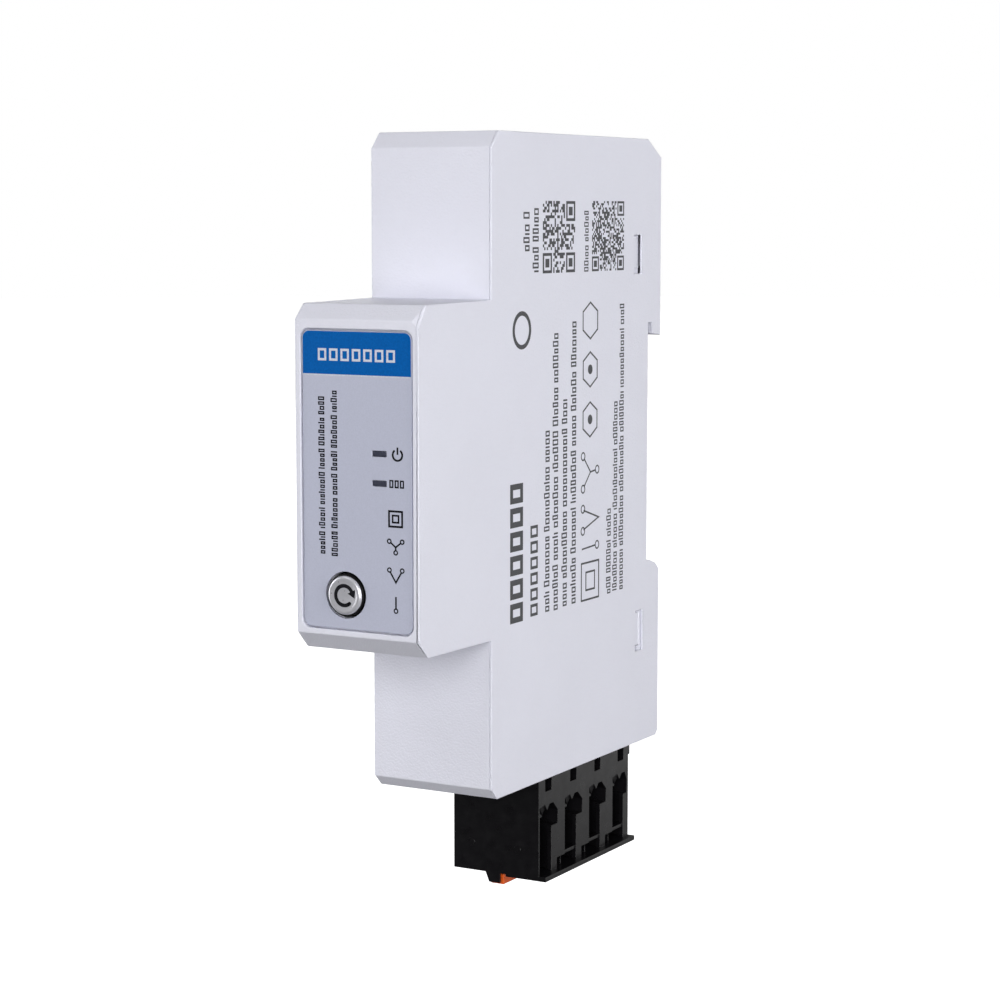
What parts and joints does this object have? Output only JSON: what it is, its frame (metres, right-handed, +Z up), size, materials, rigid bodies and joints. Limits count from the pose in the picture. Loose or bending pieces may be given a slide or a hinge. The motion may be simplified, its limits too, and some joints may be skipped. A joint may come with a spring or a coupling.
{
  "type": "electricity meter",
  "caption": "Slim white rail-mounted electricity meter with a label panel, status lamps, push button, sliding rail clip and a pull-off mains plug with wire-release buttons.",
  "frame": {"origin": "middle of the flat face that rests on the front of a 35 mm rail", "axes": "+Y points backwards through the rail, -Y out of the front label; +Z is up with the mains plug below; +X is towards the removable side cover"},
  "size_m": [0.019, 0.0704, 0.1072],
  "materials": {
    "shell_plastic": "fine-grained moulded white",
    "label_film": "satin printed film with a blue band",
    "button_silver": "satin silver",
    "switch_plastic": "moulded black",
    "plunger_plastic": "moulded ivory",
    "light_pipe_plastic": "smoked, polished",
    "lamp_plastic": "clear to milky",
    "board_laminate": "solder-mask green",
    "link_plastic": "moulded black",
    "ferrite": "matt dark ferrite",
    "winding_tape": "amber tape",
    "capacitor_sleeve": "dark shrink sleeve",
    "varistor_coating": "dipped blue coating",
    "choke_sleeve": "black sleeve",
    "fuse_ceramic": "sand-filled ceramic",
    "film_capacitor_box": "moulded ochre box",
    "chip_plastic": "moulded epoxy",
    "crystal_can": "plain can",
    "connector_plastic": "moulded black",
    "tinned_pin": "tin plated",
    "plug_plastic": "moulded black, slightly glossy",
    "release_plastic": "moulded orange",
    "contact_metal": "tinned copper alloy",
    "spring_steel": "bright spring steel",
    "clip_plastic": "moulded black"
  },
  "bodies": {
    "housing": {"housing_body": "shell_plastic", "side_cover": "shell_plastic", "front_label": "label_film", "tact_switch_body": "switch_plastic", "power_light_pipe": "light_pipe_plastic", "comm_light_pipe": "light_pipe_plastic", "power_lamp": "lamp_plastic", "comm_lamp": "lamp_plastic", "main_board": "board_laminate", "front_board": "board_laminate", "board_link": "link_plastic", "transformer_core": "ferrite", "transformer_winding": "winding_tape", "bulk_capacitor": "capacitor_sleeve", "output_capacitor": "capacitor_sleeve", "varistor": "varistor_coating", "choke": "choke_sleeve", "fuse": "fuse_ceramic", "film_capacitor": "film_capacitor_box", "metering_chip": "chip_plastic", "controller_chip": "chip_plastic", "transceiver_chip": "chip_plastic", "signal_isolator": "chip_plastic", "crystal": "crystal_can", "signal_socket": "connector_plastic", "mains_header": "connector_plastic", "signal_pin_1": "tinned_pin", "signal_pin_2": "tinned_pin", "signal_pin_3": "tinned_pin", "signal_pin_4": "tinned_pin", "signal_pin_5": "tinned_pin", "signal_pin_6": "tinned_pin", "mains_pin_1": "tinned_pin", "mains_pin_2": "tinned_pin", "mains_pin_3": "tinned_pin", "mains_pin_4": "tinned_pin", "clip_spring": "spring_steel"},
    "reset_button": {"reset_button": "button_silver"},
    "switch_plunger": {"tact_switch_plunger": "plunger_plastic"},
    "mains_plug": {"plug_housing": "plug_plastic", "plug_contact_1": "contact_metal", "plug_contact_2": "contact_metal", "plug_contact_3": "contact_metal", "plug_contact_4": "contact_metal", "clamp_spring_1": "spring_steel", "clamp_spring_2": "spring_steel", "clamp_spring_3": "spring_steel", "clamp_spring_4": "spring_steel"},
    "rail_clip": {"rail_clip": "clip_plastic"},
    "release_1": {"release_button_1": "release_plastic"},
    "release_2": {"release_button_2": "release_plastic"},
    "release_3": {"release_button_3": "release_plastic"},
    "release_4": {"release_button_4": "release_plastic"}
  },
  "joints": [
    {"name": "reset_press", "type": "slide", "parent": "housing", "child": "reset_button", "axis": [0, 1, 0], "range_m": [0, 0.0004], "stiffness_N_per_m": 300},
    {"name": "switch_press", "type": "slide", "parent": "housing", "child": "switch_plunger", "axis": [0, 1, 0], "range_m": [0, 0.0004]},
    {"name": "plug_pull", "type": "slide", "parent": "housing", "child": "mains_plug", "axis": [0, 0, -1], "range_m": [0, 0.012]},
    {"name": "clip_pull", "type": "slide", "parent": "housing", "child": "rail_clip", "axis": [0, 0, -1], "range_m": [0, 0.003], "stiffness_N_per_m": 500, "deforming": ["clip_spring"]},
    {"name": "release_press_1", "type": "slide", "parent": "mains_plug", "child": "release_1", "axis": [0, 0, 1], "range_m": [0, 0.0015], "stiffness_N_per_m": 300, "deforming": ["clamp_spring_1"]},
    {"name": "release_press_2", "type": "slide", "parent": "mains_plug", "child": "release_2", "axis": [0, 0, 1], "range_m": [0, 0.0015], "stiffness_N_per_m": 300, "deforming": ["clamp_spring_2"]},
    {"name": "release_press_3", "type": "slide", "parent": "mains_plug", "child": "release_3", "axis": [0, 0, 1], "range_m": [0, 0.0015], "stiffness_N_per_m": 300, "deforming": ["clamp_spring_3"]},
    {"name": "release_press_4", "type": "slide", "parent": "mains_plug", "child": "release_4", "axis": [0, 0, 1], "range_m": [0, 0.0015], "stiffness_N_per_m": 300, "deforming": ["clamp_spring_4"]}
  ],
  "couplings": [
    {"joint": "switch_press", "follows": "reset_press", "ratio": 1}
  ]
}
